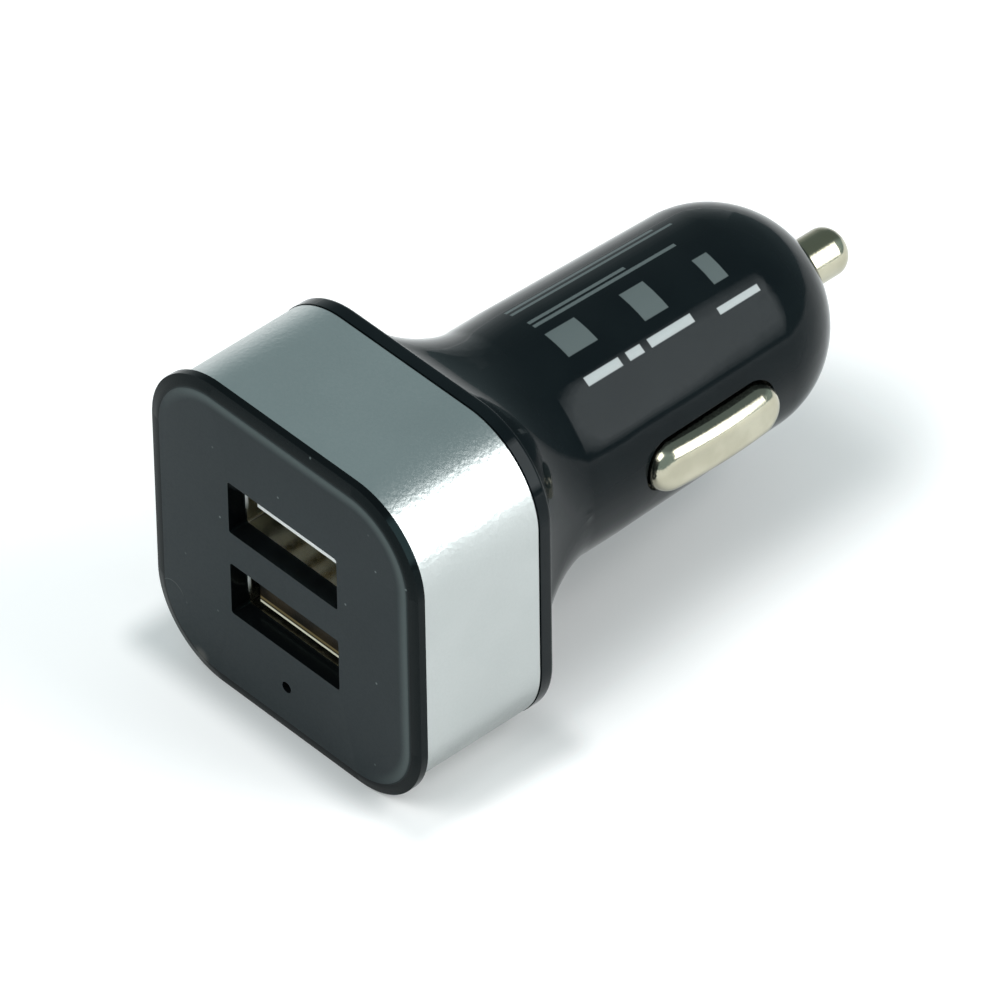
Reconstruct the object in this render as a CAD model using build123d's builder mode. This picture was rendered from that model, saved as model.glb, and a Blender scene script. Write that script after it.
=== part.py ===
from build123d import *
import os

# Twin-port USB charger for a car's 12 V socket, in millimetres.
# The plug axis is +Y, from the USB face to the centre tip, and +Z is up. The origin is on that axis,
# at the shoulder where the straight land of the plug begins behind the flared neck.

# Head: front cover, metal band and rear flange
head_size = 31.0
head_corner_radius = 8.0
edge_radius = 0.4
cover_overhang = 0.22
cover_corner_radius = 7.6
cover_rim = 1.0
cover_plate = 1.8
bevel_width = 1.2
bevel_depth = 0.3
window_corner = 0.25
band_length = 12.5
band_wall = 0.8
band_inset = 0.06
band_chamfer = 0.15
flange_thickness = 1.35
spigot_wall = 1.4
skirt_wall = 1.2
skirt_length = 3.0

# Plug: neck that flares from round to square, straight land, tapered barrel and domed nose
flare_length = 9.85
flare_half = 15.0
flare_corner_radius = 7.4
flare_shape = 1.6
flare_sink = 0.04
flare_flat = 0.05
flare_steps = (0, 0.14, 0.32, 0.55, 0.75, 0.9, 0.97, 1)
land_length = 3.5
land_radius = 10.45
taper_length = 18.4
nose_base_radius = 9.96
nose_length = 9.65
nose_fullness = 0.5523
body_wall = 1.7
neck_cone_length = 6.2
seat_wall = 2.8

# Clearances
fit_gap = 0.1
contact_gap = 0.25

# Snap arms that hold the cover in the body
snap_width = 6.0
snap_reach = 3.6
snap_hook_length = 1.4
snap_hook_height = 0.6

# USB sockets, one on each face of the board
port_offset = 4.3
window_width = 12.85
window_height = 5.3
shell_width = 12.5
shell_height = 5.12
shell_wall = 0.3
shell_corner = 0.3
shell_length = 12.0
shell_leg_width = 1.4
shell_leg_pitch = 5.6
shell_finger_length = 5.0
shell_finger_width = 1.8
shell_finger_pitch = 6.0
shell_slit = 0.3
tongue_width = 11.1
tongue_thickness = 1.84
tongue_recess = 0.1
tongue_headroom = 0.8
tongue_chamfer = 0.5
insulator_block = 2.9
insulator_heel = 0.4
contact_strip_width = 1.0
contact_strip_thickness = 0.25
contact_strip_setback = 0.5
contact_foot_length = 0.8
contact_positions = (-3.5, -1.0, 1.0, 3.5)

# Circuit board
board_thickness = 1.6
board_setback = 1.2
board_head_width = 19.0
board_rail_width = 16.6
board_tail_width = 10.8
board_overhang = 0.8
rail_start = -2.6
rail_length = 5.6
rail_thickness = 1.0
rail_depth = 1.3
rail_root = 0.55

# Centre tip, its spring and the terminal on the board's end
tip_radius = 2.15
tip_protrusion = 4.85
tip_round = 1.6
tip_collar_radius = 3.4
tip_collar_length = 1.2
tip_stub_radius = 1.5
tip_stub_length = 2.0
seat_radius = 4.2
spring_wire = 0.5
spring_radius = 2.3
spring_turns = 6
spring_wire_sides = 6
spring_length = 7.2
terminal_radius = 3.0
terminal_thickness = 0.5
terminal_tab_width = 4.0
terminal_tab_length = 3.4

# Side contacts, one on each side of the barrel, and the leaf springs behind them
contact_centre = 12.35
contact_length = 14.0
contact_width = 4.6
contact_protrusion = 2.0
contact_crown = 0.45
contact_round = 1.3
contact_sheet = 0.4
contact_lip = 1.5
contact_side_lip = 0.6
contact_cover = 1.5
leaf_sheet = 0.25
leaf_span = 10.6
leaf_pad = 1.6

# Indicator lamp behind the pin hole in the cover
lamp_inset = 4.65
lamp_hole_radius = 0.52
lamp_radius = 1.0
lamp_dome = 0.8
lamp_flange_radius = 1.35
lamp_flange = 0.6
lamp_boss_wall = 0.7
lead_size = 0.45
lead_pitch = 1.27
lead_run = 0.9

# Parts soldered to the board
can_radius = 3.15
can_height = 5.0
can_edge = 0.4
can_base_size = 6.6
can_base_height = 1.0
can_base_chamfer = 1.2
can_groove_depth = 0.2
can_groove_height = 0.4
can_groove_lift = 0.8
inductor_size = 6.8
inductor_height = 4.0
inductor_corner = 1.2
inductor_groove_depth = 0.7
inductor_groove_height = 1.8
choke_setback = 1.7
choke_gap = 0.25
chip_length = 4.9
chip_width = 3.9
chip_height = 1.5
chip_standoff = 0.15
chip_chamfer = 0.25
chip_setback = 1.7
chip_leads_per_side = 4
chip_lead_pitch = 1.27
chip_lead_width = 0.42
chip_lead_sheet = 0.2
chip_lead_reach = 1.05
diode_length = 4.3
diode_width = 2.6
diode_height = 2.1
diode_chamfer = 0.4
diode_gap = 2.15
passive_length = 2.0
passive_width = 1.25
passive_height = 0.55
passive_spacing = 2.5
passive_row_gap = 0.5
passive_gap = 1.75

# Places along the plug axis
flange_rear_y = -flare_length
flange_front_y = flange_rear_y - flange_thickness
cover_back_y = flange_front_y - band_length
face_y = cover_back_y - cover_rim
plate_back_y = face_y + cover_plate
nose_base_y = land_length + taper_length
nose_end_y = nose_base_y + nose_length

# Sizes of the pieces that nest inside the head
lamp_drop = head_size / 2 - lamp_inset
cover_size = head_size + 2 * cover_overhang
band_size = head_size - 2 * band_inset
band_corner = head_corner_radius - band_inset
bore_size = band_size - 2 * band_wall
bore_corner = band_corner - band_wall
spigot_size = bore_size - 2 * fit_gap
spigot_corner = bore_corner - fit_gap
cavity_size = spigot_size - 2 * spigot_wall
cavity_corner = spigot_corner - spigot_wall
skirt_size = cavity_size - 2 * fit_gap
skirt_corner = cavity_corner - fit_gap
skirt_bore = skirt_size - 2 * skirt_wall
skirt_bore_corner = skirt_corner - skirt_wall
skirt_back_y = plate_back_y + skirt_length
hook_end_y = skirt_back_y + snap_reach
hook_start_y = hook_end_y - snap_hook_length

# Inside of the barrel
land_bore = land_radius - body_wall
nose_bore = nose_base_radius - body_wall
seat_y = nose_end_y - seat_wall
board_top = board_thickness / 2
contact_reach = nose_base_radius + contact_protrusion
contact_seat = nose_base_radius - contact_cover
contact_start_y = contact_centre - contact_length / 2 - contact_lip
contact_end_y = contact_centre + contact_length / 2 + contact_lip

# Sockets and board along the axis
shell_front_y = plate_back_y
shell_rear_y = shell_front_y + shell_length
socket_rear_y = shell_rear_y + insulator_heel
tongue_front_y = shell_front_y + tongue_recess
tongue_z = port_offset + shell_height / 2 - tongue_headroom - tongue_thickness
board_front_y = plate_back_y + board_setback
board_step_y = flange_front_y + board_overhang
rail_end_y = rail_start + rail_length
board_neck_y = rail_end_y + contact_gap
terminal_y = seat_y - tip_collar_length - spring_length - terminal_thickness


def section_at(y):
    """Plane across the plug axis: local x is +X, local y is +Z, and extrude(amount=-d) goes towards +Y."""
    return Plane.XZ.offset(-y)


def rounded_square(size, radius):
    return RectangleRounded(size, size, radius)


# Body: barrel, neck, flange and the square spigot that carries the band, moulded in one piece
with BuildPart() as plug_body:
    with BuildSketch(section_at(flange_front_y)):
        rounded_square(head_size, head_corner_radius)
    extrude(amount=-flange_thickness)
    fillet(plug_body.faces().sort_by(Axis.Y)[-1].edges(), edge_radius)
    with BuildSketch(section_at(plate_back_y)):
        rounded_square(spigot_size, spigot_corner)
    extrude(amount=-(flange_front_y - plate_back_y))
    for step in flare_steps:
        spread = 1 - (1 - step**flare_shape) ** (1 / flare_shape)
        half = land_radius - flare_sink + (flare_half - land_radius + flare_sink) * spread
        flat = flare_flat + (flare_half - flare_corner_radius - flare_flat) * spread
        with BuildSketch(section_at(-step * flare_length)):
            rounded_square(2 * half, half - flat)
    loft()
    with BuildSketch(Plane.XY):
        with BuildLine():
            land = Line((land_radius, flange_rear_y), (land_radius, land_length))
            taper = Line(land @ 1, (nose_base_radius, nose_base_y))
            nose = Bezier(
                taper @ 1,
                (nose_base_radius, nose_base_y + nose_fullness * nose_length),
                (nose_fullness * nose_base_radius, nose_end_y),
                (0, nose_end_y),
            )
            Polyline(nose @ 1, (0, flange_rear_y), land @ 0)
        make_face()
    revolve(axis=Axis.Y)
    with BuildSketch(section_at(plate_back_y)):
        rounded_square(cavity_size, cavity_corner)
    extrude(amount=-(flange_front_y - plate_back_y), mode=Mode.SUBTRACT)
    with BuildSketch(Plane.XY):
        with BuildLine():
            Polyline(
                (0, flange_front_y),
                (cavity_size / 2, flange_front_y),
                (land_bore, flange_front_y + neck_cone_length),
                (land_bore, land_length),
                (nose_bore, nose_base_y),
                (seat_radius, seat_y),
                (0, seat_y),
                close=True,
            )
        make_face()
    revolve(axis=Axis.Y, mode=Mode.SUBTRACT)
    with BuildSketch(section_at(seat_y)):
        Circle(tip_radius + fit_gap)
    extrude(amount=-nose_length, mode=Mode.SUBTRACT)
    with BuildSketch(Plane.YZ):
        with Locations((contact_centre, 0)):
            SlotOverall(contact_length + 2 * contact_gap, contact_width + 2 * contact_gap)
    extrude(amount=contact_reach, both=True, mode=Mode.SUBTRACT)
    with Locations((0, contact_centre, 0)):
        Box(
            2 * contact_seat,
            contact_end_y - contact_start_y + 2 * contact_gap,
            contact_width + 2 * (contact_side_lip + contact_gap),
            mode=Mode.SUBTRACT,
        )
    rail_x = land_bore + (rail_root - rail_depth) / 2
    rail_z = board_top + fit_gap + rail_thickness / 2
    with BuildSketch(section_at(rail_start)):
        with GridLocations(2 * rail_x, 2 * rail_z, 2, 2):
            Rectangle(rail_depth + rail_root, rail_thickness)
    extrude(amount=-rail_length)
    with Locations((0, (hook_start_y + hook_end_y) / 2, 0)):
        Box(
            spigot_size,
            snap_hook_length + 2 * contact_gap,
            snap_width + 2 * contact_gap,
            mode=Mode.SUBTRACT,
        )

# Band: a satin aluminium ring, held between the cover's rim and the flange
with BuildPart() as head_band:
    with BuildSketch(section_at(cover_back_y)):
        rounded_square(band_size, band_corner)
    extrude(amount=-band_length)
    chamfer(head_band.faces().sort_by(Axis.Y)[0].edges(), band_chamfer)
    chamfer(head_band.faces().sort_by(Axis.Y)[-1].edges(), band_chamfer)
    with BuildSketch(section_at(cover_back_y)):
        rounded_square(bore_size, bore_corner)
    extrude(amount=-band_length, mode=Mode.SUBTRACT)

# Front cover: face plate with two windows, a skirt inside the spigot and two snap arms
with BuildPart() as front_cover:
    with BuildSketch(section_at(face_y)):
        rounded_square(cover_size - 2 * bevel_width, cover_corner_radius - bevel_width)
    with BuildSketch(section_at(face_y + bevel_depth)):
        rounded_square(cover_size, cover_corner_radius)
    loft(ruled=True)
    with BuildSketch(section_at(face_y + bevel_depth)):
        rounded_square(cover_size, cover_corner_radius)
    extrude(amount=-(cover_rim - bevel_depth))
    with BuildSketch(section_at(cover_back_y)):
        rounded_square(spigot_size, spigot_corner)
    extrude(amount=-(cover_plate - cover_rim))
    with BuildSketch(section_at(plate_back_y)):
        rounded_square(skirt_size, skirt_corner)
        RectangleRounded(skirt_bore, skirt_bore, skirt_bore_corner, mode=Mode.SUBTRACT)
    extrude(amount=-skirt_length)
    with BuildSketch(section_at(skirt_back_y)):
        with GridLocations(skirt_size - skirt_wall, 0, 2, 1):
            Rectangle(skirt_wall, snap_width)
    extrude(amount=-snap_reach)
    hook_x = skirt_size / 2
    with BuildSketch(Plane.XY):
        with BuildLine():
            Polyline(
                (hook_x - skirt_wall / 2, hook_start_y),
                (hook_x + snap_hook_height, hook_start_y),
                (hook_x, hook_end_y),
                (hook_x - skirt_wall / 2, hook_end_y),
                close=True,
            )
        make_face()
        mirror(about=Plane.YZ)
    extrude(amount=snap_width / 2, both=True)
    with BuildSketch(section_at(plate_back_y)):
        with Locations((0, -lamp_drop)):
            Circle(lamp_radius + fit_gap + lamp_boss_wall)
    extrude(amount=-skirt_length)
    with BuildSketch(section_at(plate_back_y)):
        with Locations((0, -lamp_drop)):
            Circle(lamp_radius + fit_gap)
    extrude(amount=-skirt_length, mode=Mode.SUBTRACT)
    with BuildSketch(section_at(face_y)):
        with Locations((0, -lamp_drop)):
            Circle(lamp_hole_radius)
        with GridLocations(0, 2 * port_offset, 1, 2):
            RectangleRounded(window_width, window_height, window_corner)
    extrude(amount=-cover_plate, mode=Mode.SUBTRACT)

# Upper socket shell: folded sheet with two spring fingers on each broad wall and four legs in the board
shell_outer_width = shell_width + 2 * shell_wall
shell_outer_height = shell_height + 2 * shell_wall
shell_mid_y = (shell_front_y + shell_rear_y) / 2
with BuildPart() as usb_shell_upper:
    with BuildSketch(section_at(shell_front_y)):
        with Locations((0, port_offset)):
            RectangleRounded(shell_outer_width, shell_outer_height, shell_corner + shell_wall)
            RectangleRounded(shell_width, shell_height, shell_corner, mode=Mode.SUBTRACT)
    extrude(amount=-shell_length)
    with BuildSketch(Plane.XY.offset(port_offset)):
        with Locations((0, shell_mid_y)):
            with GridLocations(shell_finger_pitch, 0, 2, 1):
                Rectangle(shell_finger_width + 2 * shell_slit, shell_finger_length)
        with Locations((0, shell_mid_y + shell_slit)):
            with GridLocations(shell_finger_pitch, 0, 2, 1):
                Rectangle(shell_finger_width, shell_finger_length, mode=Mode.SUBTRACT)
    extrude(amount=shell_height, both=True, mode=Mode.SUBTRACT)
    with BuildSketch(Plane.XY.offset(fit_gap)):
        with Locations((0, shell_mid_y)):
            with GridLocations(shell_width + shell_wall, shell_leg_pitch, 2, 2):
                Rectangle(shell_wall, shell_leg_width)
    extrude(amount=port_offset - fit_gap)

# Lower socket shell: the same piece upside down under the board
with BuildPart() as usb_shell_lower:
    mirror(usb_shell_upper.part, about=Plane.XY)

# Upper insulator: rear block, heel on the board and the tongue that carries the contacts
block_front_y = shell_rear_y - insulator_block
channel_height = contact_strip_thickness + fit_gap
with BuildPart() as usb_insulator_upper:
    with BuildSketch(section_at(block_front_y)):
        with Locations((0, port_offset)):
            RectangleRounded(shell_width - fit_gap, shell_height - fit_gap, shell_corner)
    extrude(amount=-(socket_rear_y - block_front_y))
    heel_height = port_offset + shell_outer_height / 2 - board_top
    with BuildSketch(section_at(shell_rear_y)):
        with Locations((0, board_top + heel_height / 2)):
            Rectangle(shell_outer_width, heel_height)
    extrude(amount=-insulator_heel)
    with BuildSketch(Plane.XY.offset(tongue_z)):
        with BuildLine():
            Polyline(
                (-tongue_width / 2, block_front_y),
                (-tongue_width / 2, tongue_front_y + tongue_chamfer),
                (-tongue_width / 2 + tongue_chamfer, tongue_front_y),
                (tongue_width / 2 - tongue_chamfer, tongue_front_y),
                (tongue_width / 2, tongue_front_y + tongue_chamfer),
                (tongue_width / 2, block_front_y),
                close=True,
            )
        make_face()
    extrude(amount=tongue_thickness)
    with BuildSketch(section_at(block_front_y)):
        with Locations(*[(x, tongue_z - channel_height / 2) for x in contact_positions]):
            Rectangle(contact_strip_width + fit_gap, channel_height)
    extrude(amount=-(socket_rear_y - block_front_y), mode=Mode.SUBTRACT)

# Lower insulator: the same piece upside down
with BuildPart() as usb_insulator_lower:
    mirror(usb_insulator_upper.part, about=Plane.XY)

# Upper contacts: four strips under the tongue, led out at the back and soldered to the board
strip_front_y = tongue_front_y + contact_strip_setback
strip_back_y = socket_rear_y + contact_strip_thickness
with BuildPart() as usb_contacts_upper:
    with BuildSketch(Plane.YZ):
        with BuildLine():
            Polyline(
                (strip_front_y, tongue_z),
                (strip_back_y, tongue_z),
                (strip_back_y, board_top + contact_strip_thickness),
                (strip_back_y + contact_foot_length, board_top + contact_strip_thickness),
                (strip_back_y + contact_foot_length, board_top),
                (socket_rear_y, board_top),
                (socket_rear_y, tongue_z - contact_strip_thickness),
                (strip_front_y, tongue_z - contact_strip_thickness),
                close=True,
            )
        make_face()
    strip = extrude(amount=contact_strip_width / 2, both=True, mode=Mode.PRIVATE)
    with Locations(*[(x, 0, 0) for x in contact_positions]):
        add(strip)

# Lower contacts: the same four strips upside down
with BuildPart() as usb_contacts_lower:
    mirror(usb_contacts_upper.part, about=Plane.XY)

# Circuit board: wide between the sockets, held in the barrel's rails, narrow between the side contacts
with BuildPart() as circuit_board:
    with BuildSketch(Plane.XY.offset(-board_top)):
        with Locations((0, (board_front_y + board_step_y) / 2)):
            Rectangle(board_head_width, board_step_y - board_front_y)
        with Locations((0, (board_step_y + board_neck_y) / 2)):
            Rectangle(board_rail_width, board_neck_y - board_step_y)
        with Locations((0, (board_neck_y + terminal_y) / 2)):
            Rectangle(board_tail_width, terminal_y - board_neck_y)
        with Locations((0, shell_mid_y)):
            with GridLocations(shell_width + shell_wall, shell_leg_pitch, 2, 2):
                Rectangle(shell_wall + 2 * fit_gap, shell_leg_width + 2 * fit_gap, mode=Mode.SUBTRACT)
    extrude(amount=board_thickness)

# Centre tip: turned pin with a collar that stops behind the nose and a stub for the spring
collar_back_y = seat_y - tip_collar_length
tip_end_y = nose_end_y + tip_protrusion
with BuildPart() as centre_tip:
    with BuildSketch(Plane.XY):
        with BuildLine():
            Polyline(
                (0, collar_back_y - tip_stub_length),
                (tip_stub_radius, collar_back_y - tip_stub_length),
                (tip_stub_radius, collar_back_y),
                (tip_collar_radius, collar_back_y),
                (tip_collar_radius, seat_y),
                (tip_radius, seat_y),
                (tip_radius, tip_end_y),
                (0, tip_end_y),
                close=True,
            )
        make_face()
    revolve(axis=Axis.Y)
    fillet(centre_tip.faces().sort_by(Axis.Y)[-1].edges(), tip_round)

# Tip spring: a coil between the terminal and the tip's collar, its fine wire drawn with flat sides
spring_start_y = terminal_y + terminal_thickness + spring_wire / 2
spring_end_y = collar_back_y - spring_wire / 2
coil_height = spring_end_y - spring_start_y
with BuildPart() as tip_spring:
    with BuildLine() as coil:
        Helix(coil_height / spring_turns, coil_height, spring_radius, (0, spring_start_y, 0), (0, 1, 0))
    with BuildSketch(Plane(origin=coil.line @ 0, z_dir=coil.line % 0)):
        RegularPolygon(spring_wire / 2, spring_wire_sides)
    sweep(path=coil.line, is_frenet=True)

# Tip terminal: a disc on the board's end with a tab soldered along the board
with BuildPart() as tip_terminal:
    with BuildSketch(section_at(terminal_y)):
        Circle(terminal_radius)
    extrude(amount=-terminal_thickness)
    with BuildSketch(Plane.XY.offset(board_top)):
        with Locations((0, terminal_y + (terminal_thickness - terminal_tab_length) / 2)):
            Rectangle(terminal_tab_width, terminal_tab_length + terminal_thickness)
    extrude(amount=terminal_thickness)


def crowned_dome(length, width, base, reach):
    """Obround dome on the +X side, crowned along the barrel, with sharp top edges."""
    start = contact_centre - length / 2
    end = contact_centre + length / 2
    shoulder = reach - contact_crown
    with BuildPart() as dome:
        with BuildSketch(Plane.XY):
            with BuildLine():
                ThreePointArc((shoulder, start), (reach, contact_centre), (shoulder, end))
                Polyline((shoulder, end), (base, end), (base, start), (shoulder, start))
            make_face()
        extrude(amount=width, both=True)
        with BuildSketch(Plane.YZ.offset(base)):
            with Locations((contact_centre, 0)):
                SlotOverall(length, width)
        extrude(amount=reach - base, mode=Mode.INTERSECT)
    return dome


# Right side contact: pressed from one sheet, with a lip all round that stops behind the slot
lip_floor = contact_seat - contact_sheet
hollow_length = contact_length - 2 * contact_sheet
hollow_width = contact_width - 2 * contact_sheet
outer_dome = crowned_dome(contact_length, contact_width, lip_floor, contact_reach)
with outer_dome:
    fillet(outer_dome.faces().sort_by(Axis.X)[-1].edges(), contact_round)
inner_dome = crowned_dome(hollow_length, hollow_width, lip_floor, contact_reach - contact_sheet)
with inner_dome:
    chamfer(inner_dome.faces().sort_by(Axis.X)[-1].edges(), contact_round - contact_sheet)
with BuildPart() as side_contact_right:
    with BuildSketch(Plane.YZ.offset(lip_floor)):
        with Locations((contact_centre, 0)):
            Rectangle(contact_end_y - contact_start_y, contact_width + 2 * contact_side_lip)
    extrude(amount=contact_sheet)
    add(outer_dome.part)
    add(inner_dome.part, mode=Mode.SUBTRACT)

# Left side contact: the same pressing on the other side
with BuildPart() as side_contact_left:
    mirror(side_contact_right.part, about=Plane.YZ)

# Right leaf spring: a bowed strip from the board's edge to the inside of the side contact
leaf_foot = board_tail_width / 2
leaf_top = contact_reach - contact_sheet
leaf_start_y = contact_centre - leaf_span / 2
leaf_end_y = contact_centre + leaf_span / 2
leaf_width = contact_width - 2 * contact_round - fit_gap
with BuildPart() as ground_spring_right:
    with BuildSketch(Plane.XY):
        with BuildLine():
            ThreePointArc(
                (leaf_foot, leaf_start_y + leaf_sheet),
                (leaf_top - leaf_sheet, contact_centre),
                (leaf_foot, leaf_end_y - leaf_sheet),
            )
            Polyline(
                (leaf_foot, leaf_end_y - leaf_sheet),
                (leaf_foot, leaf_end_y + leaf_pad),
                (leaf_foot + leaf_sheet, leaf_end_y + leaf_pad),
                (leaf_foot + leaf_sheet, leaf_end_y),
            )
            ThreePointArc(
                (leaf_foot + leaf_sheet, leaf_end_y),
                (leaf_top, contact_centre),
                (leaf_foot + leaf_sheet, leaf_start_y),
            )
            Polyline(
                (leaf_foot + leaf_sheet, leaf_start_y),
                (leaf_foot + leaf_sheet, leaf_start_y - leaf_pad),
                (leaf_foot, leaf_start_y - leaf_pad),
                (leaf_foot, leaf_start_y + leaf_sheet),
            )
        make_face()
    extrude(amount=leaf_width / 2, both=True)

# Left leaf spring: the same strip on the other side
with BuildPart() as ground_spring_left:
    mirror(ground_spring_right.part, about=Plane.YZ)

# Indicator lamp: a small domed lamp in the cover's boss
lamp_back_y = skirt_back_y + lamp_flange
with BuildPart() as indicator_lamp:
    with BuildSketch(section_at(plate_back_y)):
        with Locations((0, -lamp_drop)):
            Circle(lamp_radius)
    extrude(amount=-skirt_length)
    fillet(indicator_lamp.faces().sort_by(Axis.Y)[0].edges(), lamp_dome)
    with BuildSketch(section_at(skirt_back_y)):
        with Locations((0, -lamp_drop)):
            Circle(lamp_flange_radius)
    extrude(amount=-lamp_flange)

# Lamp leads: two wires led round the lower socket to the under side of the board
lead_x = (shell_outer_width + board_head_width) / 4
lead_back_y = lamp_back_y + lead_run
with BuildPart() as lamp_leads:
    with BuildSketch(section_at(lamp_back_y)):
        with Locations((lead_pitch / 2, -lamp_drop)):
            Rectangle(lead_size, lead_size)
    extrude(amount=-lead_run)
    with BuildSketch(section_at(lead_back_y - lead_size)):
        with BuildLine():
            Polyline(
                (lead_pitch / 2 - lead_size / 2, -lamp_drop - lead_size / 2),
                (lead_x + lead_size / 2, -lamp_drop - lead_size / 2),
                (lead_x + lead_size / 2, -board_top),
                (lead_x - lead_size / 2, -board_top),
                (lead_x - lead_size / 2, -lamp_drop + lead_size / 2),
                (lead_pitch / 2 - lead_size / 2, -lamp_drop + lead_size / 2),
                close=True,
            )
        make_face()
    extrude(amount=-lead_size)
    mirror(about=Plane.YZ)


def capacitor_base(y):
    """Square plastic base with two cut corners, standing on the board's top face."""
    with BuildPart() as base:
        with BuildSketch(Plane.XY.offset(board_top)) as outline:
            with Locations((0, y)):
                Rectangle(can_base_size, can_base_size)
            chamfer(outline.vertices().group_by(Axis.Y)[-1], can_base_chamfer)
        extrude(amount=can_base_height)
    return base


def capacitor_can(y):
    """Aluminium can on its base, with the rolled groove near the foot."""
    foot = board_top + can_base_height
    with BuildPart() as can:
        with BuildSketch(Plane.XY.offset(foot)):
            with Locations((0, y)):
                Circle(can_radius)
        extrude(amount=can_height)
        chamfer(can.faces().sort_by(Axis.Z)[-1].edges(), can_edge)
        with BuildSketch(Plane.XY.offset(foot + can_groove_lift)):
            with Locations((0, y)):
                Circle(can_radius)
                Circle(can_radius - can_groove_depth, mode=Mode.SUBTRACT)
        extrude(amount=can_groove_height, mode=Mode.SUBTRACT)
    return can


# Capacitors: one beside the sockets, one beside the side contacts, with the choke between them
choke_y = board_neck_y - choke_setback
output_y = choke_y - inductor_size / 2 - can_base_size / 2 - choke_gap
input_y = choke_y + inductor_size / 2 + can_base_size / 2 + choke_gap
output_capacitor_base = capacitor_base(output_y)
output_capacitor = capacitor_can(output_y)
input_capacitor_base = capacitor_base(input_y)
input_capacitor = capacitor_can(input_y)

# Choke: a ferrite drum with its winding in the groove
groove_floor = board_top + (inductor_height - inductor_groove_height) / 2
post_radius = inductor_size / 2 - inductor_corner
with BuildPart() as inductor_core:
    with BuildSketch(Plane.XY.offset(board_top)):
        with Locations((0, choke_y)):
            rounded_square(inductor_size, inductor_corner)
    extrude(amount=inductor_height)
    with BuildSketch(Plane.XY.offset(groove_floor)):
        with Locations((0, choke_y)):
            Rectangle(inductor_size, inductor_size)
            Circle(post_radius, mode=Mode.SUBTRACT)
    extrude(amount=inductor_groove_height, mode=Mode.SUBTRACT)

with BuildPart() as inductor_winding:
    with BuildSketch(Plane.XY.offset(groove_floor)):
        with Locations((0, choke_y)):
            Circle(post_radius + inductor_groove_depth)
            Circle(post_radius, mode=Mode.SUBTRACT)
    extrude(amount=inductor_groove_height)

# Regulator: an eight-lead chip under the board
chip_y = choke_y - chip_setback
chip_floor = -board_top - chip_standoff
with BuildPart() as regulator_chip:
    with BuildSketch(Plane.XY.offset(chip_floor)):
        with Locations((0, chip_y)):
            Rectangle(chip_width, chip_length)
    extrude(amount=-chip_height)
    chamfer(regulator_chip.faces().sort_by(Axis.Z)[0].edges(), chip_chamfer)

lead_top = chip_floor - chip_height / 2
with BuildPart() as regulator_leads:
    with BuildSketch(Plane.XZ):
        with BuildLine():
            Polyline(
                (chip_width / 2, lead_top),
                (chip_width / 2 + chip_lead_reach / 2, lead_top),
                (chip_width / 2 + chip_lead_reach / 2, -board_top - chip_lead_sheet),
                (chip_width / 2 + chip_lead_reach, -board_top - chip_lead_sheet),
                (chip_width / 2 + chip_lead_reach, -board_top),
                (chip_width / 2 + chip_lead_reach / 2 - chip_lead_sheet, -board_top),
                (chip_width / 2 + chip_lead_reach / 2 - chip_lead_sheet, lead_top + chip_lead_sheet),
                (chip_width / 2, lead_top + chip_lead_sheet),
                close=True,
            )
        make_face()
    lead = extrude(amount=chip_lead_width / 2, both=True, mode=Mode.PRIVATE)
    with Locations((0, chip_y, 0)):
        with GridLocations(0, chip_lead_pitch, 1, chip_leads_per_side):
            add(lead)
    mirror(about=Plane.YZ)

# Rectifier diode: a moulded block under the board
diode_y = chip_y + chip_length / 2 + diode_gap + diode_length / 2
with BuildPart() as rectifier_diode:
    with BuildSketch(Plane.XY.offset(-board_top)):
        with Locations((0, diode_y)):
            Rectangle(diode_width, diode_length)
    extrude(amount=-diode_height)
    chamfer(rectifier_diode.faces().sort_by(Axis.Z)[0].edges(), diode_chamfer)

# Small passive parts: four blocks in a square under the board
passive_y = chip_y - chip_length / 2 - passive_gap - passive_length - passive_row_gap / 2
with BuildPart() as chip_resistors:
    with BuildSketch(Plane.XY.offset(-board_top)):
        with Locations((0, passive_y)):
            with GridLocations(passive_width + passive_spacing, passive_length + passive_row_gap, 2, 2):
                Rectangle(passive_width, passive_length)
    extrude(amount=-passive_height)

pieces = {
    "plug_body": plug_body,
    "head_band": head_band,
    "front_cover": front_cover,
    "circuit_board": circuit_board,
    "usb_shell_upper": usb_shell_upper,
    "usb_shell_lower": usb_shell_lower,
    "usb_insulator_upper": usb_insulator_upper,
    "usb_insulator_lower": usb_insulator_lower,
    "usb_contacts_upper": usb_contacts_upper,
    "usb_contacts_lower": usb_contacts_lower,
    "centre_tip": centre_tip,
    "tip_spring": tip_spring,
    "tip_terminal": tip_terminal,
    "side_contact_right": side_contact_right,
    "side_contact_left": side_contact_left,
    "ground_spring_right": ground_spring_right,
    "ground_spring_left": ground_spring_left,
    "indicator_lamp": indicator_lamp,
    "lamp_leads": lamp_leads,
    "input_capacitor": input_capacitor,
    "input_capacitor_base": input_capacitor_base,
    "output_capacitor": output_capacitor,
    "output_capacitor_base": output_capacitor_base,
    "inductor_core": inductor_core,
    "inductor_winding": inductor_winding,
    "regulator_chip": regulator_chip,
    "regulator_leads": regulator_leads,
    "rectifier_diode": rectifier_diode,
    "chip_resistors": chip_resistors,
}

os.makedirs("parts", exist_ok=True)
for name, piece in pieces.items():
    piece.part.label = name
    export_step(piece.part, f"parts/{name}.step")
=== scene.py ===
import math

import bpy
from mathutils import Matrix, Vector


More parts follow.
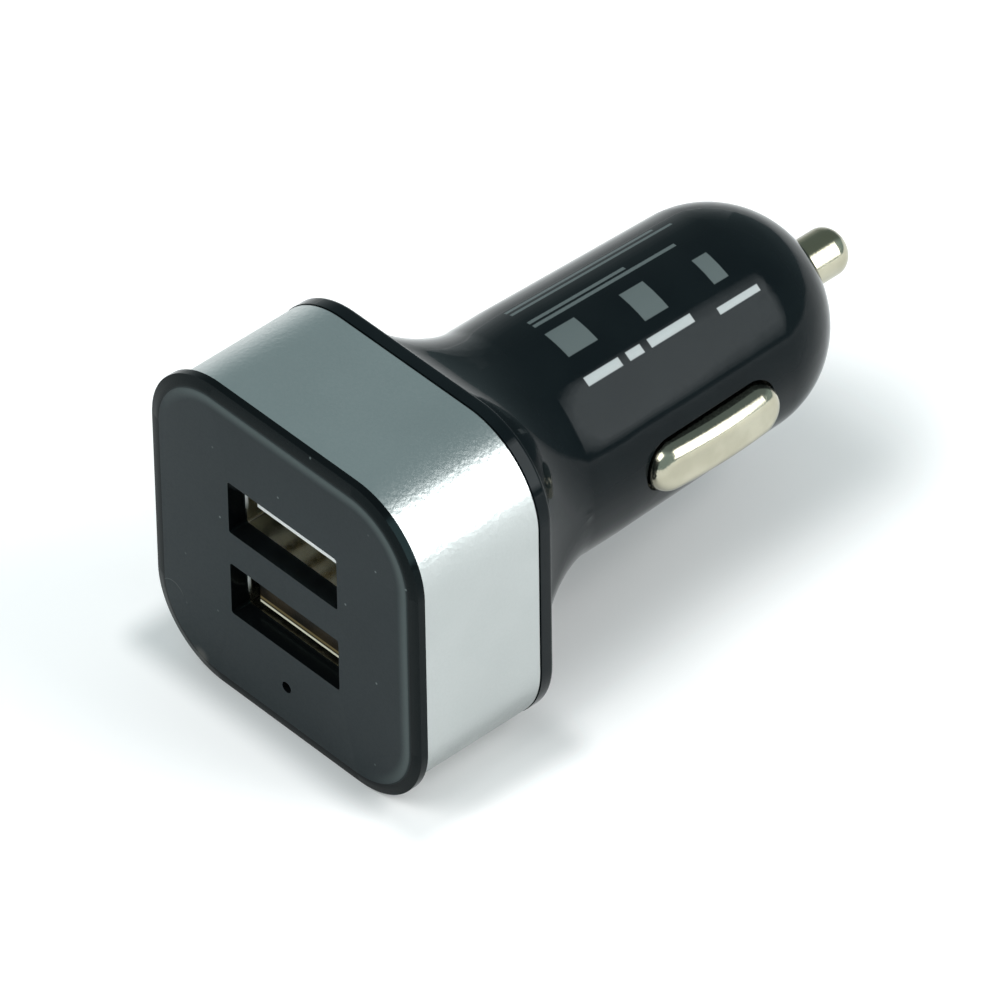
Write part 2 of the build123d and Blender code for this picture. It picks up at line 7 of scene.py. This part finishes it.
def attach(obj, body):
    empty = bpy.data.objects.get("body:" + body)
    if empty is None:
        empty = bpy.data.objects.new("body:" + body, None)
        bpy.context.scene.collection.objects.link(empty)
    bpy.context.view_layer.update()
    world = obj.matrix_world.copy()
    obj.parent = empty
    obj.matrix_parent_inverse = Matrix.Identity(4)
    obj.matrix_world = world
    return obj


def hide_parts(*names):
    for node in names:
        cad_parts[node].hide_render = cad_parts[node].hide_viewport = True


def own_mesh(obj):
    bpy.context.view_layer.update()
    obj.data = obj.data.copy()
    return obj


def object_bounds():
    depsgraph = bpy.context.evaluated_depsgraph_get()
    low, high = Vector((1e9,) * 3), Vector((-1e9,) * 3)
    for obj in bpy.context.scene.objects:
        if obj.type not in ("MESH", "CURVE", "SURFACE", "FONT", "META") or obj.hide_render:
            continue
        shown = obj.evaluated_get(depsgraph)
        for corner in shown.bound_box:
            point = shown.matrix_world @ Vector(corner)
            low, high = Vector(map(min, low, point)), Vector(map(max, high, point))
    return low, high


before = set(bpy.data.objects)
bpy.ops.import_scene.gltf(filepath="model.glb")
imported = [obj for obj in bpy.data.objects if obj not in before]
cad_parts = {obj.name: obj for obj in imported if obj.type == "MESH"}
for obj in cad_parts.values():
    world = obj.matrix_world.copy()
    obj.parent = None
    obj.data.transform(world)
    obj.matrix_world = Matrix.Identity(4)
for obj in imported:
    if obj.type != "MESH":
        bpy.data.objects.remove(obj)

cad_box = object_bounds()
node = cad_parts
mm = 0.001

# Circuit board: a sheet of glass-fibre laminate under green solder mask, slid into two rails of the
# plug body. Copper tracks show through the mask as slightly paler lines.


def start_finish(name):
    """A new node material, with its tree and its main shader."""
    finish = bpy.data.materials.new(name)
    finish.use_nodes = True
    return finish, finish.node_tree, finish.node_tree.nodes["Principled BSDF"]


def put(tree, kind, **settings):
    """Adds a node of that kind to a tree."""
    made = tree.nodes.new("ShaderNode" + kind)
    for key, value in settings.items():
        setattr(made, key, value)
    return made


def feed(tree, target, socket, value):
    """Sets a socket to a plain value, or links an output to it."""
    if isinstance(value, bpy.types.NodeSocket):
        tree.links.new(value, target.inputs[socket])
    else:
        target.inputs[socket].default_value = value


def sums(tree, operation, first, second=0.0, third=0.0):
    """One step of arithmetic on the surface."""
    made = put(tree, "Math", operation=operation)
    for place, value in enumerate((first, second, third)):
        feed(tree, made, place, value)
    return made.outputs[0]


def ramp(tree, value, low, high, out_low=0.0, out_high=1.0):
    """Eases a value from one range to another and holds it at both ends."""
    made = put(tree, "MapRange", interpolation_type="SMOOTHSTEP")
    for socket, number in (("Value", value), ("From Min", low), ("From Max", high),
                           ("To Min", out_low), ("To Max", out_high)):
        feed(tree, made, socket, number)
    return made.outputs["Result"]


def blend_colours(tree, share, first, second):
    """A colour between two others, by a mask."""
    made = put(tree, "Mix", data_type="RGBA")
    feed(tree, made, "Factor", share)
    for place, colour in ((6, first), (7, second)):
        feed(tree, made, place, colour if isinstance(colour, bpy.types.NodeSocket) else (*colour, 1.0))
    return made.outputs[2]


def tint(tree, shader, share, colour):
    """Lays one more colour over a finish, where a mask is not zero."""
    under = shader.inputs["Base Color"].links[0].from_socket
    feed(tree, shader, "Base Color", blend_colours(tree, share, under, colour))


def relief(tree, shader, height, depth, strength=1.0):
    """Gives a finish fine relief from a height of 0 to 1."""
    bump = put(tree, "Bump")
    feed(tree, bump, "Strength", strength)
    feed(tree, bump, "Distance", depth)
    feed(tree, bump, "Height", height)
    feed(tree, shader, "Normal", bump.outputs[0])


def object_place(tree):
    """The Object coordinates of a finish."""
    return put(tree, "TexCoord").outputs["Object"]


def new_group(name, inputs, outputs):
    """A shader node group with number inputs and outputs, and its two end nodes."""
    group = bpy.data.node_groups.new(name, "ShaderNodeTree")
    for label, value in inputs:
        socket = group.interface.new_socket(label, in_out="INPUT", socket_type="NodeSocketFloat")
        socket.default_value = value
    for label in outputs:
        group.interface.new_socket(label, in_out="OUTPUT", socket_type="NodeSocketFloat")
    return group, group.nodes.new("NodeGroupInput"), group.nodes.new("NodeGroupOutput")


def use_group(tree, group, **values):
    """Places a group in a material with its own values."""
    made = put(tree, "Group", node_tree=group)
    for label, value in values.items():
        feed(tree, made, label, value)
    return made.outputs


def wear(nodes, finish):
    """Puts a finish on the CAD nodes of those names."""
    for name in nodes:
        slots = node[name].data.materials
        slots.clear()
        slots.append(finish)


# A moulded or rolled surface is never quite even: one broad mottle and one fine grain, both 0 to 1.
grain_group, grain_in, grain_out = new_group(
    "surface_grain", (("Broad", 200.0), ("Fine", 4000.0)), ("Mottle", "Grain"))
grain_place = object_place(grain_group)
for size_name, result_name, detail in (("Broad", "Mottle", 2.0), ("Fine", "Grain", 3.0)):
    cloud = put(grain_group, "TexNoise")
    feed(grain_group, cloud, "Vector", grain_place)
    feed(grain_group, cloud, "Scale", grain_in.outputs[size_name])
    feed(grain_group, cloud, "Detail", detail)
    feed(grain_group, grain_out, result_name, ramp(grain_group, cloud.outputs[0], 0.3, 0.7))


def grained(name, low, high, rough, fine=4000.0, broad=200.0, depth=0.01 * mm, metallic=0.0):
    """A finish whose colour, roughness and fine relief follow the surface grain."""
    finish, tree, shader = start_finish(name)
    grain = use_group(tree, grain_group, Broad=broad, Fine=fine)
    feed(tree, shader, "Base Color", blend_colours(tree, grain["Mottle"], low, high))
    feed(tree, shader, "Roughness", ramp(tree, grain["Grain"], 0.0, 1.0, rough[0], rough[1]))
    feed(tree, shader, "Metallic", metallic)
    relief(tree, shader, grain["Grain"], depth, strength=0.5)
    return finish, tree, shader


board_finish, board_tree, board_shader = grained(
    "board_green", (0.010, 0.075, 0.032), (0.016, 0.100, 0.045), (0.28, 0.42))
track_wave = put(board_tree, "TexWave", wave_type="BANDS", bands_direction="X")
feed(board_tree, track_wave, "Vector", object_place(board_tree))
feed(board_tree, track_wave, "Scale", 180.0)
feed(board_tree, track_wave, "Distortion", 4.0)
board_tracks = ramp(board_tree, track_wave.outputs[1], 0.55, 0.7)
tint(board_tree, board_shader, board_tracks, (0.022, 0.135, 0.060))
wear(("circuit_board",), board_finish)

# Parts soldered to the board: two aluminium can capacitors on black bases, a ferrite choke with its
# copper winding, the regulator chip, a diode and chip resistors. The cans are drawn from sheet, the
# chip and diode are moulded in black epoxy, and every lead is tinned.
can_finish, _, _ = grained(
    "can_aluminium", (0.60, 0.61, 0.62), (0.70, 0.71, 0.72), (0.22, 0.36), metallic=1.0)
epoxy_finish, _, _ = grained("black_plastic", (0.012, 0.012, 0.013), (0.020, 0.020, 0.021), (0.45, 0.60))
ferrite_finish, _, _ = grained("ferrite", (0.030, 0.029, 0.028), (0.050, 0.048, 0.046), (0.55, 0.75))
copper_finish, copper_tree, copper_shader = grained(
    "copper", (0.50, 0.17, 0.065), (0.62, 0.24, 0.10), (0.22, 0.34), metallic=1.0)
turns_wave = put(copper_tree, "TexWave", wave_type="BANDS", bands_direction="Z")
feed(copper_tree, turns_wave, "Vector", object_place(copper_tree))
feed(copper_tree, turns_wave, "Scale", 1200.0)
relief(copper_tree, copper_shader, turns_wave.outputs[1], 0.1 * mm)
tin_finish, _, _ = grained("tin", (0.52, 0.52, 0.51), (0.64, 0.64, 0.62), (0.25, 0.42), metallic=1.0)
wear(("input_capacitor", "output_capacitor"), can_finish)
wear(("input_capacitor_base", "output_capacitor_base", "regulator_chip", "rectifier_diode",
      "chip_resistors"), epoxy_finish)
wear(("inductor_core",), ferrite_finish)
wear(("inductor_winding",), copper_finish)
wear(("lamp_leads", "regulator_leads", "tip_terminal"), tin_finish)

# USB sockets: folded steel shells with a plastic block and tongue inside, one on each face of the
# board, so the lower one stands on its head. Four gilt strips lie in each tongue. A painted highlight,
# white and not metallic, runs down the upper part of each shell's left front edge, the walls behind it
# keep the dull steel, and the front lip of the lower tongue is painted in bands, a pale painted
# highlight along its lowest edge with a dark and a brown band above it.


def split_place(tree):
    """The three Object coordinates of a finish, one by one."""
    parts = put(tree, "SeparateXYZ")
    feed(tree, parts, 0, object_place(tree))
    return parts.outputs[0], parts.outputs[1], parts.outputs[2]


def smooth_copy(name, finish, broad_faces=False):
    """Stands a merged copy in for a CAD node of the charger, with its gentle edges shaded round."""
    merge_gap, crease_angle = 0.001 * mm, math.radians(25.0)
    bpy.ops.object.select_all(action="DESELECT")
    piece = bpy.data.objects.new(name + "_smooth", node[name].data.copy())
    bpy.context.scene.collection.objects.link(piece)
    bpy.context.view_layer.objects.active = piece
    piece.select_set(True)
    bpy.ops.mesh.customdata_custom_splitnormals_clear()
    bpy.ops.object.mode_set(mode="EDIT")
    bpy.ops.mesh.select_all(action="SELECT")
    bpy.ops.mesh.remove_doubles(threshold=merge_gap)
    bpy.ops.object.mode_set(mode="OBJECT")
    bpy.ops.object.shade_smooth_by_angle(angle=crease_angle)
    if broad_faces:
        level = piece.modifiers.new("level", "WEIGHTED_NORMAL")
        level.mode, level.weight, level.keep_sharp = "FACE_AREA", 100, True
        bpy.ops.object.modifier_apply(modifier=level.name)
    piece.data.materials.clear()
    piece.data.materials.append(finish)
    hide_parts(name)
    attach(piece, "charger")
    return piece


shell_front_y, shell_left_x = -22.9 * mm, -6.15 * mm
socket_pitch = 8.6 * mm
edge_depth, edge_fade = 0.1 * mm, 0.25 * mm
highlight_foot_height, highlight_top_height = 2.4 * mm, 4.4 * mm
shell_finish, shell_tree, shell_shader = grained(
    "socket_steel", (0.47, 0.46, 0.385), (0.60, 0.59, 0.50), (0.18, 0.26), fine=1500.0, broad=160.0,
    depth=0.001 * mm, metallic=1.0)
shell_x, shell_y, shell_z = split_place(shell_tree)
# Painted highlight: the upper part of each shell's left front edge is painted white and not metallic.
highlight_front_edge = ramp(shell_tree, shell_y, shell_front_y + edge_fade, shell_front_y + edge_depth)
highlight_left_edge = ramp(shell_tree, shell_x, shell_left_x + edge_fade, shell_left_x)
edge_height = sums(shell_tree, "WRAP", shell_z, socket_pitch, 0.0)
highlight_upper_part = ramp(shell_tree, edge_height, highlight_foot_height, highlight_top_height)
painted_highlight_edge = sums(shell_tree, "MULTIPLY", sums(shell_tree, "MULTIPLY", highlight_front_edge, highlight_left_edge), highlight_upper_part)
tint(shell_tree, shell_shader, painted_highlight_edge, (0.95, 0.95, 0.93))
feed(shell_tree, shell_shader, "Metallic", sums(shell_tree, "SUBTRACT", 1.0, painted_highlight_edge))
wear(("usb_shell_upper", "usb_shell_lower"), shell_finish)

ivory_finish, _, _ = grained("socket_ivory", (0.88, 0.88, 0.86), (0.94, 0.94, 0.92), (0.35, 0.50))
lip_length, lip_drop = 0.7 * mm, 0.2 * mm
upper_tongue = smooth_copy("usb_insulator_upper", ivory_finish)
bpy.ops.object.mode_set(mode="EDIT")
bpy.ops.mesh.select_all(action="DESELECT")
bpy.ops.object.mode_set(mode="OBJECT")
for point in upper_tongue.data.vertices:
    point.select = point.co.y < shell_front_y + lip_length and point.co.z < socket_pitch / 2
bpy.ops.object.mode_set(mode="EDIT")
bpy.ops.transform.translate(value=(0.0, 0.0, -lip_drop))
bpy.ops.object.mode_set(mode="OBJECT")

tongue_finish, tongue_tree, tongue_shader = grained(
    "socket_plastic", (0.004, 0.0034, 0.002), (0.022, 0.015, 0.007), (0.30, 0.45), broad=300.0)
feed(tongue_tree, tongue_shader, "IOR", 1.2)
_, tongue_y, tongue_z = split_place(tongue_tree)
# Painted highlight on the lower tongue's front lip: a pale line along its lowest edge, with a dark and a
# brown band above it.
painted_lip_depth, painted_lip_fade, painted_lip_blur = 0.4 * mm, 0.8 * mm, 0.08 * mm
lip_front = ramp(tongue_tree, tongue_y, shell_front_y + painted_lip_fade, shell_front_y + painted_lip_depth)
for lip_top, lip_colour in ((-5.35 * mm, (0.16, 0.12, 0.055)), (-5.60 * mm, (0.030, 0.022, 0.012)),
                            (-5.78 * mm, (0.80, 0.76, 0.60))):
    lip = ramp(tongue_tree, tongue_z, lip_top, lip_top - painted_lip_blur)
    tint(tongue_tree, tongue_shader, sums(tongue_tree, "MULTIPLY", lip, lip_front), lip_colour)
wear(("usb_insulator_lower",), tongue_finish)

gilt_finish, _, _ = grained(
    "contact_gold", (0.80, 0.56, 0.22), (0.90, 0.68, 0.32), (0.18, 0.30), metallic=1.0)
wear(("usb_contacts_upper", "usb_contacts_lower"), gilt_finish)

# Indicator lamp: a small lamp cast in blue-tinted epoxy, pushed into the boss behind the cover's pin
# hole. It is unlit, so the hole looks dark.
lamp_finish, lamp_tree, lamp_shader = grained(
    "lamp_blue", (0.015, 0.050, 0.150), (0.020, 0.070, 0.190), (0.10, 0.18))
feed(lamp_tree, lamp_shader, "Transmission Weight", 0.6)
wear(("indicator_lamp",), lamp_finish)

# Springs: a coil of hard-drawn steel wire behind the centre tip, and a strip of spring steel bent into
# a bow and soldered to the board behind each side contact.
spring_finish, _, _ = grained(
    "spring_steel", (0.42, 0.42, 0.41), (0.54, 0.54, 0.53), (0.24, 0.36), metallic=1.0)
leaf_foot, leaf_bow, contact_travel = 5.4 * mm, 6.16 * mm, 1.6 * mm
coil_foot, coil_length, tip_travel = 20.35 * mm, 7.2 * mm, 4.0 * mm
for spring, joint, way, foot, height, travel in (
        ("tip_spring", "tip_press",
         (0.0, 1.0, 0.0), (0.0, coil_foot, 0.0), coil_length, tip_travel),
        ("ground_spring_right", "right_contact_press",
         (1.0, 0.0, 0.0), (leaf_foot, 0.0, 0.0), leaf_bow, contact_travel),
        ("ground_spring_left", "left_contact_press",
         (-1.0, 0.0, 0.0), (-leaf_foot, 0.0, 0.0), leaf_bow, contact_travel)):
    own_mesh(smooth_copy(spring, spring_finish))

# Centre tip and side contacts: pressed from brass and plated with bright nickel. The plating keeps a
# faint warm tone and handling has left the crowns very finely scuffed. The tip is painted a darker
# brown over its upper left, and a dark brown painted reflection lies along the upper edge of each side
# contact.
nickel = dict(low=(0.41, 0.39, 0.30), high=(0.48, 0.46, 0.36), rough=(0.12, 0.22), fine=5000.0,
              broad=350.0, depth=0.003 * mm, metallic=1.0)
tip_finish, tip_tree, tip_shader = grained("nickel_tip", **nickel)
tip_x, _, tip_z = split_place(tip_tree)
tip_angle = sums(tip_tree, "ARCTAN2", tip_z, tip_x)
# The upper left of the tip is painted a darker brown.
tip_dark_from, tip_dark_full, tip_dark_fade, tip_dark_gone = map(math.radians, (52.0, 66.0, 130.0, 175.0))
tip_dark_start = ramp(tip_tree, tip_angle, tip_dark_from, tip_dark_full)
tip_dark_end = ramp(tip_tree, tip_angle, tip_dark_gone, tip_dark_fade, 0.0, 0.8)
tint(tip_tree, tip_shader, sums(tip_tree, "MULTIPLY", tip_dark_start, tip_dark_end), (0.15, 0.135, 0.085))
wear(("centre_tip",), tip_finish)
contact_finish, contact_tree, contact_shader = grained("nickel_contact", **nickel)
_, _, contact_z = split_place(contact_tree)
# Painted reflection: a dark brown band along the upper edge of each side contact.
painted_reflection_foot, painted_reflection_top = 1.9 * mm, 2.15 * mm
contact_painted_reflection = ramp(contact_tree, contact_z, painted_reflection_foot, painted_reflection_top, 0.0, 0.7)
tint(contact_tree, contact_shader, contact_painted_reflection, (0.15, 0.14, 0.11))
wear(("side_contact_right", "side_contact_left"), contact_finish)

# Plug body: one moulding in gloss black plastic, the barrel, the flared neck and the rear flange. The
# gloss carries a faint ripple from the mould, the neck runs into the barrel without an edge, and pale
# bars are printed along the top of the barrel.
body_finish, body_tree, body_shader = start_finish("black_gloss")
body_grain = use_group(body_tree, grain_group, Broad=260.0, Fine=2600.0)
feed(body_tree, body_shader, "Base Color",
     blend_colours(body_tree, body_grain["Mottle"], (0.0034, 0.0056, 0.0068), (0.0044, 0.0070, 0.0082)))
feed(body_tree, body_shader, "Roughness", ramp(body_tree, body_grain["Grain"], 0.0, 1.0, 0.05, 0.10))
feed(body_tree, body_shader, "IOR", 1.19)
feed(body_tree, body_shader, "Specular Tint", (0.90, 0.98, 1.0, 1.0))
relief(body_tree, body_shader, body_grain["Mottle"], 0.01 * mm, strength=0.3)


def between(tree, value, low, high, edge):
    """A mask that is 1 between two values, with soft edges."""
    return sums(tree, "MULTIPLY", ramp(tree, value, low - edge, low + edge),
                ramp(tree, value, high + edge, high - edge))


body_x, body_y, body_z = split_place(body_tree)
body_angle = sums(body_tree, "ARCTAN2", body_z, body_x)
print_edge, print_turn_edge = 0.05 * mm, math.radians(0.3)
white_ink, grey_ink = (0.40, 0.42, 0.42), (0.10, 0.12, 0.12)
# Each bar's turn round the barrel in degrees, its stretch along the axis in millimetres, and its ink.
for low, high, start, end, ink in (
        (111.0, 113.0, 3.0, 19.0, grey_ink), (107.0, 109.0, 3.0, 20.5, grey_ink),
        (95.5, 97.5, 3.0, 13.5, grey_ink), (92.0, 94.0, 3.0, 18.5, grey_ink),
        (70.0, 86.0, 3.0, 6.2, grey_ink), (66.0, 84.0, 10.8, 13.4, grey_ink),
        (64.0, 80.0, 18.2, 19.8, grey_ink), (54.0, 58.5, 2.8, 6.6, white_ink),
        (54.0, 58.5, 7.4, 9.0, white_ink), (54.0, 58.5, 9.8, 14.6, white_ink),
        (50.5, 54.0, 17.0, 21.5, white_ink)):
    along = between(body_tree, body_y, start * mm, end * mm, print_edge)
    around = between(body_tree, body_angle, math.radians(low), math.radians(high), print_turn_edge)
    tint(body_tree, body_shader, sums(body_tree, "MULTIPLY", along, around), ink)
smooth_copy("plug_body", body_finish)

# Head band: a sleeve of satin aluminium sheet slipped over the body's spigot and held by the cover.
# Blasting has left a fine even grain that breaks up the edges of its highlights.
band_finish, band_tree, band_shader = grained(
    "satin_aluminium", (0.43, 0.455, 0.45), (0.455, 0.48, 0.475), (0.29, 0.37), fine=5000.0, broad=120.0,
    metallic=1.0)
blasting = put(band_tree, "TexNoise")
feed(band_tree, blasting, "Vector", object_place(band_tree))
feed(band_tree, blasting, "Scale", 2400.0)
feed(band_tree, blasting, "Detail", 2.0)
relief(band_tree, band_shader, blasting.outputs[0], 0.030 * mm)
wear(("head_band",), band_finish)

# Front cover: a black plastic plate with a satin face, snapped into the body. A paler painted highlight
# runs along the shoulder round the face at the top and the right only, and the bevel, the rim and the
# walls of the two windows are left glossy. Dust, a smudge and a scratch lie on the face.


def from_rounded_square(tree, across, up, half, corner):
    """How far a point lies outside a square with rounded corners, below zero inside it."""
    reach = [sums(tree, "SUBTRACT", sums(tree, "ABSOLUTE", way), half - corner) for way in (across, up)]
    outer = [sums(tree, "POWER", sums(tree, "MAXIMUM", way, 0.0), 2.0) for way in reach]
    round_part = sums(tree, "SQRT", sums(tree, "ADD", *outer))
    flat_part = sums(tree, "MINIMUM", sums(tree, "MAXIMUM", *reach), 0.0)
    return sums(tree, "SUBTRACT", sums(tree, "ADD", round_part, flat_part), corner)


def far_from(tree, across, up, middle):
    """Distance on the face from a point."""
    ways = [sums(tree, "POWER", sums(tree, "ABSOLUTE", sums(tree, "SUBTRACT", way, place)), 2.0)
            for way, place in ((across, middle[0]), (up, middle[1]))]
    return sums(tree, "SQRT", sums(tree, "ADD", *ways))


face_y = cad_box[0].y
cover_half = cad_box[1].x
bevel_width = 1.2 * mm
shoulder_corner = 6.4 * mm
cover_finish, cover_tree, cover_shader = start_finish("charcoal_satin")
cover_grain = use_group(cover_tree, grain_group, Broad=150.0, Fine=5000.0)
cover_x, cover_y, cover_z = split_place(cover_tree)
off_face = ramp(cover_tree, cover_y, face_y + 0.005 * mm, face_y + 0.03 * mm)
feed(cover_tree, cover_shader, "Base Color",
     blend_colours(cover_tree, cover_grain["Mottle"], (0.0034, 0.0078, 0.0100), (0.0046, 0.0094, 0.0118)))
tint(cover_tree, cover_shader, off_face, (0.0032, 0.0040, 0.0045))

shoulder = from_rounded_square(cover_tree, cover_x, cover_z, cover_half - bevel_width, shoulder_corner)
# Painted highlight: a paler line along the shoulder round the face, on the top and the right only.
shoulder_highlight_inner, shoulder_highlight_crest, shoulder_highlight_outer, shoulder_highlight_turn = -1.1 * mm, -0.15 * mm, 0.30 * mm, 6.0 * mm
shoulder_highlight_line = sums(cover_tree, "MULTIPLY", ramp(cover_tree, shoulder, shoulder_highlight_inner, shoulder_highlight_crest),
                   ramp(cover_tree, shoulder, shoulder_highlight_outer, shoulder_highlight_crest))
shoulder_highlight_side = ramp(cover_tree, sums(cover_tree, "ADD", cover_x, cover_z), -shoulder_highlight_turn, shoulder_highlight_turn)
shoulder_highlight = sums(cover_tree, "MULTIPLY", shoulder_highlight_line, shoulder_highlight_side)
tint(cover_tree, cover_shader, shoulder_highlight, (0.050, 0.066, 0.066))

smudge_place, smudge_edge, smudge_core = (-10.4 * mm, -14.2 * mm), 1.1 * mm, 0.2 * mm
smudge_far = far_from(cover_tree, cover_x, cover_z, smudge_place)
smudge = ramp(cover_tree, smudge_far, smudge_edge, smudge_core)
tint(cover_tree, cover_shader, smudge, (0.060, 0.058, 0.054))

scratch_middle, scratch_inner, scratch_outer = (-13.6 * mm, -9.6 * mm), 1.34 * mm, 1.40 * mm
scratch_blur, scratch_foot, scratch_top = 0.05 * mm, -9.2 * mm, -8.4 * mm
scratch_far = far_from(cover_tree, cover_x, cover_z, scratch_middle)
scratch_arc = between(cover_tree, scratch_far, scratch_inner, scratch_outer, scratch_blur)
scratch = sums(cover_tree, "MULTIPLY", scratch_arc, ramp(cover_tree, cover_z, scratch_foot, scratch_top))
tint(cover_tree, cover_shader, scratch, (0.065, 0.070, 0.070))

dust_scale, speck_edge, speck_core = 270.0, 0.040, 0.012
rare_from, rare_full = 0.70, 0.95
dust = put(cover_tree, "TexVoronoi", voronoi_dimensions="2D")
dust_place = put(cover_tree, "CombineXYZ")
feed(cover_tree, dust_place, 0, cover_x)
feed(cover_tree, dust_place, 1, cover_z)
feed(cover_tree, dust, "Vector", dust_place.outputs[0])
feed(cover_tree, dust, "Scale", dust_scale)
dust_pick = put(cover_tree, "SeparateColor")
feed(cover_tree, dust_pick, 0, dust.outputs["Color"])
dust_speck = sums(cover_tree, "MULTIPLY", ramp(cover_tree, dust.outputs["Distance"], speck_edge, speck_core),
                  ramp(cover_tree, dust_pick.outputs[0], rare_from, rare_full))
tint(cover_tree, cover_shader, dust_speck, (0.11, 0.13, 0.13))

gloss_rough = 0.15
satin_rough = ramp(cover_tree, cover_grain["Grain"], 0.0, 1.0, 0.36, 0.44)
rough_step = sums(cover_tree, "SUBTRACT", gloss_rough, satin_rough)
feed(cover_tree, cover_shader, "Roughness",
     sums(cover_tree, "MULTIPLY_ADD", off_face, rough_step, satin_rough))
feed(cover_tree, cover_shader, "IOR", 1.15)
feed(cover_tree, cover_shader, "Specular Tint", (0.50, 0.95, 1.0, 1.0))
feed(cover_tree, cover_shader, "Coat Weight", sums(cover_tree, "SUBTRACT", 1.0, off_face))
feed(cover_tree, cover_shader, "Coat IOR", 1.15)
feed(cover_tree, cover_shader, "Coat Roughness", 0.40)
relief(cover_tree, cover_shader, cover_grain["Grain"], 0.003 * mm, strength=0.4)
smooth_copy("front_cover", cover_finish, broad_faces=True)

# Floor: a plain pale sheet under the charger, lit white. The paper glows a little, apart from two
# patches under the head and under the barrel, where the glow fades out as painted shade that deepens
# the charger's shadow.
floor_size = 3.0
floor_white = (0.84, 0.82, 0.815)
floor_glow = 0.36
bpy.ops.object.select_all(action="DESELECT")
bpy.ops.mesh.primitive_plane_add(size=floor_size, location=(0, 0, cad_box[0].z))
floor = bpy.context.object
floor.name = "floor"
bpy.ops.object.transform_apply(location=True, rotation=True, scale=True)
floor_finish, floor_tree, floor_shader = start_finish("floor_sheet")
feed(floor_tree, floor_shader, "Base Color", (*floor_white, 1.0))
feed(floor_tree, floor_shader, "Roughness", 1.0)
feed(floor_tree, floor_shader, "Specular IOR Level", 0.0)
floor_x, floor_y, _ = split_place(floor_tree)
# Painted shade: the glow fades out under the head and under the barrel.
glow_outside_painted_shade = 1.0
# Painted shade under the head and the barrel: half the width, the middle, half the length and the fade, in
# mm.
for half_wide, middle, half_long, fade in ((15.7, -17.3, 7.4, 4.0), (7.0, 12.0, 18.0, 14.0)):
    beside = sums(floor_tree, "SUBTRACT", sums(floor_tree, "ABSOLUTE", floor_x), half_wide * mm)
    along = sums(floor_tree, "ABSOLUTE", sums(floor_tree, "SUBTRACT", floor_y, middle * mm))
    outside = [sums(floor_tree, "POWER", sums(floor_tree, "MAXIMUM", way, 0.0), 2.0)
               for way in (beside, sums(floor_tree, "SUBTRACT", along, half_long * mm))]
    clear = sums(floor_tree, "SQRT", sums(floor_tree, "ADD", *outside))
    glow_outside_painted_shade = sums(floor_tree, "MULTIPLY", ramp(floor_tree, clear, 0.0, fade * mm), glow_outside_painted_shade)
seen = put(floor_tree, "LightPath").outputs
seen_white = sums(floor_tree, "MAXIMUM", seen["Is Camera Ray"],
                  sums(floor_tree, "MAXIMUM", seen["Is Glossy Ray"], seen["Is Transmission Ray"]))
feed(floor_tree, floor_shader, "Emission Color", (1.0, 1.0, 1.0, 1.0))
feed(floor_tree, floor_shader, "Emission Strength", sums(
    floor_tree, "MULTIPLY", sums(floor_tree, "MULTIPLY", seen_white, glow_outside_painted_shade), floor_glow))
floor.data.materials.append(floor_finish)

# Studio: a soft box behind the charger on its right, with layers of cloth that soften its edges, a
# broad fill on the camera's side, a low card behind on the left that fades upwards, and a dim bluish
# room.
room = bpy.data.worlds.new("room")
bpy.context.scene.world = room
room.use_nodes = True
room_light = room.node_tree.nodes["Background"]
room_light.inputs["Color"].default_value = (0.335, 0.435, 0.45, 1.0)
room_light.inputs["Strength"].default_value = 1.0


def soft_light(name, place, long_way, size, power):
    """A rectangular lamp at a place, facing the charger, with its long side along a direction."""
    data = bpy.data.lights.new(name, "AREA")
    data.shape, data.size, data.size_y, data.energy = "RECTANGLE", size[0], size[1], power
    lamp = bpy.data.objects.new(name, data)
    bpy.context.scene.collection.objects.link(lamp)
    back = Vector(place).normalized()
    side = Vector(long_way).cross(back).normalized()
    turned = Matrix((side, back.cross(side), back)).transposed()
    lamp.matrix_world = Matrix.Translation(place) @ turned.to_4x4()


upright_way = (0.0, 0.0, 1.0)
box_place, box_way = Vector((0.331, 0.191, 0.242)), (-0.59, 0.0, 0.806)
box_wide, box_tall, box_power = 0.225, 0.43, 0.583
for share in (0.88, 1.0, 1.12):
    soft_light("soft_box", box_place * (0.9 + share / 10), box_way, (box_wide * share, box_tall * share),
               box_power * share ** 2)
fill_place, fill_size, fill_power = (-0.12, -0.56, 0.66), (0.6, 0.5), 3.9
soft_light("fill", fill_place, upright_way, fill_size, fill_power)
card_x, card_y, card_foot, card_wide, card_glow = -0.49, 0.31, -0.02, 0.45, 0.34
for card_tall in (0.06, 0.11, 0.16, 0.21, 0.26):
    soft_light("back_card", (card_x, card_y, card_foot + card_tall / 2), upright_way, (card_wide, card_tall),
               card_glow * card_wide * card_tall)

# Camera: a long lens above the front right corner of the head, about a metre away and turned by under
# a degree about its own axis.
camera_azimuth, camera_elevation, camera_roll = map(math.radians, (47.847, 41.467, -0.858))
camera_distance = 972.619 * mm
camera_aim = Vector((-0.047, -1.358, -5.072)) * mm
camera_data = bpy.data.cameras.new("camera")
camera_data.sensor_width = 36.0
camera_data.lens = 434.6
camera_data.clip_start, camera_data.clip_end = 0.05, 20.0
camera = bpy.data.objects.new("camera", camera_data)
bpy.context.scene.collection.objects.link(camera)
camera_back = Vector((math.sin(camera_azimuth) * math.cos(camera_elevation),
                      -math.cos(camera_azimuth) * math.cos(camera_elevation), math.sin(camera_elevation)))
level_right = Vector((math.cos(camera_azimuth), math.sin(camera_azimuth), 0.0))
level_up = camera_back.cross(level_right)
camera_right = level_right * math.cos(camera_roll) + level_up * math.sin(camera_roll)
camera_up = level_up * math.cos(camera_roll) - level_right * math.sin(camera_roll)
camera_turn = Matrix((camera_right, camera_up, camera_back)).transposed()
camera.matrix_world = Matrix.Translation(camera_aim + camera_back * camera_distance) @ camera_turn.to_4x4()
bpy.context.scene.camera = camera
bpy.context.scene.view_settings.view_transform = "Standard"
